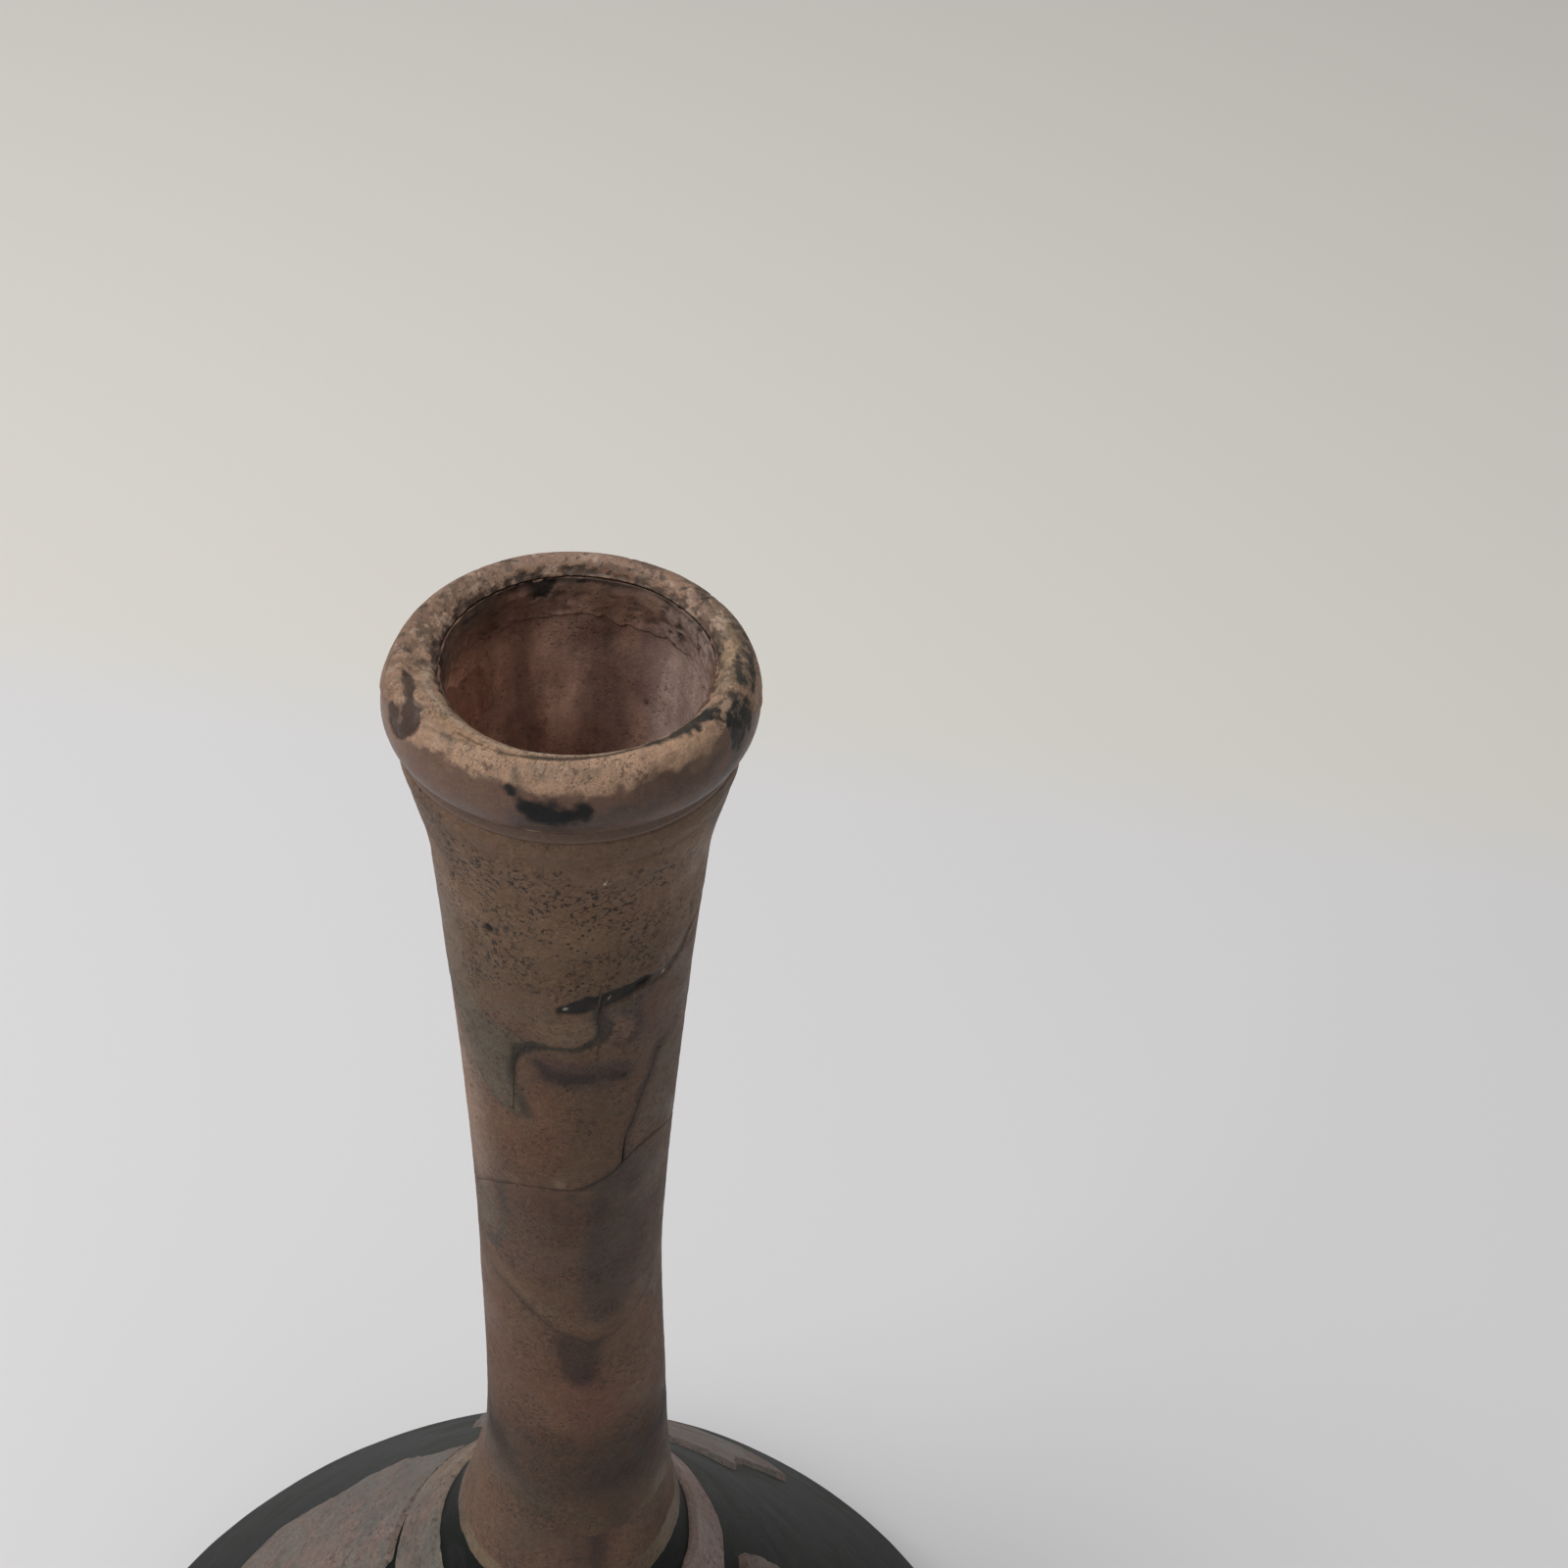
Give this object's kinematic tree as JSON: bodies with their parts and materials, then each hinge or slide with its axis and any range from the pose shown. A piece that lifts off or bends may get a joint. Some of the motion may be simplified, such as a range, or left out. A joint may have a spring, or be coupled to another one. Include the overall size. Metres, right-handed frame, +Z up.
{
  "type": "antique glass bottle",
  "caption": "Small ancient long-necked glass bottle with a rolled rim and a bell-shaped body, mended at the neck and covered with brown weathering crust.",
  "frame": {"origin": "centre of the resting ring on the surface the bottle stands on", "axes": "+Z up along the bottle, +X to the right and -Y towards the front, the side whose neck shows the breaks"},
  "size_m": [0.0802, 0.0756, 0.1294],
  "materials": {
    "dark_glass": "dark green-black blown glass, nearly opaque, dulled by weathering",
    "brown_crust": "brown weathering crust, satin, with fine pits and soft darker veins",
    "tan_crust": "thin tan crust, matt, worn through to black glass in patches",
    "olive_crust": "reddish to olive-brown crust, satin",
    "pink_crust": "greyish-pink crust, matt, flaking at its edges",
    "lining_crust": "mauve-brown crust inside the mouth with upright streaks, dull"
  },
  "bodies": {
    "root": {"upper_neck_sherd": "dark_glass", "neck_wedge_sherd": "dark_glass", "middle_neck_sherd": "dark_glass", "lower_neck_sherd": "dark_glass", "body": "dark_glass", "lip_fold": "dark_glass", "rim_crust": "tan_crust", "collar_crust": "brown_crust", "upper_neck_crust": "brown_crust", "wedge_crust": "brown_crust", "middle_neck_crust": "brown_crust", "lower_neck_crust": "olive_crust", "mouth_lining": "lining_crust", "shoulder_ring_crust": "pink_crust", "shoulder_crust_left": "pink_crust", "shoulder_crust_right": "pink_crust", "flank_crust_front": "pink_crust", "flank_crust_right": "pink_crust", "flank_crust_rear": "pink_crust", "flank_crust_left": "pink_crust"}
  },
  "joints": []
}
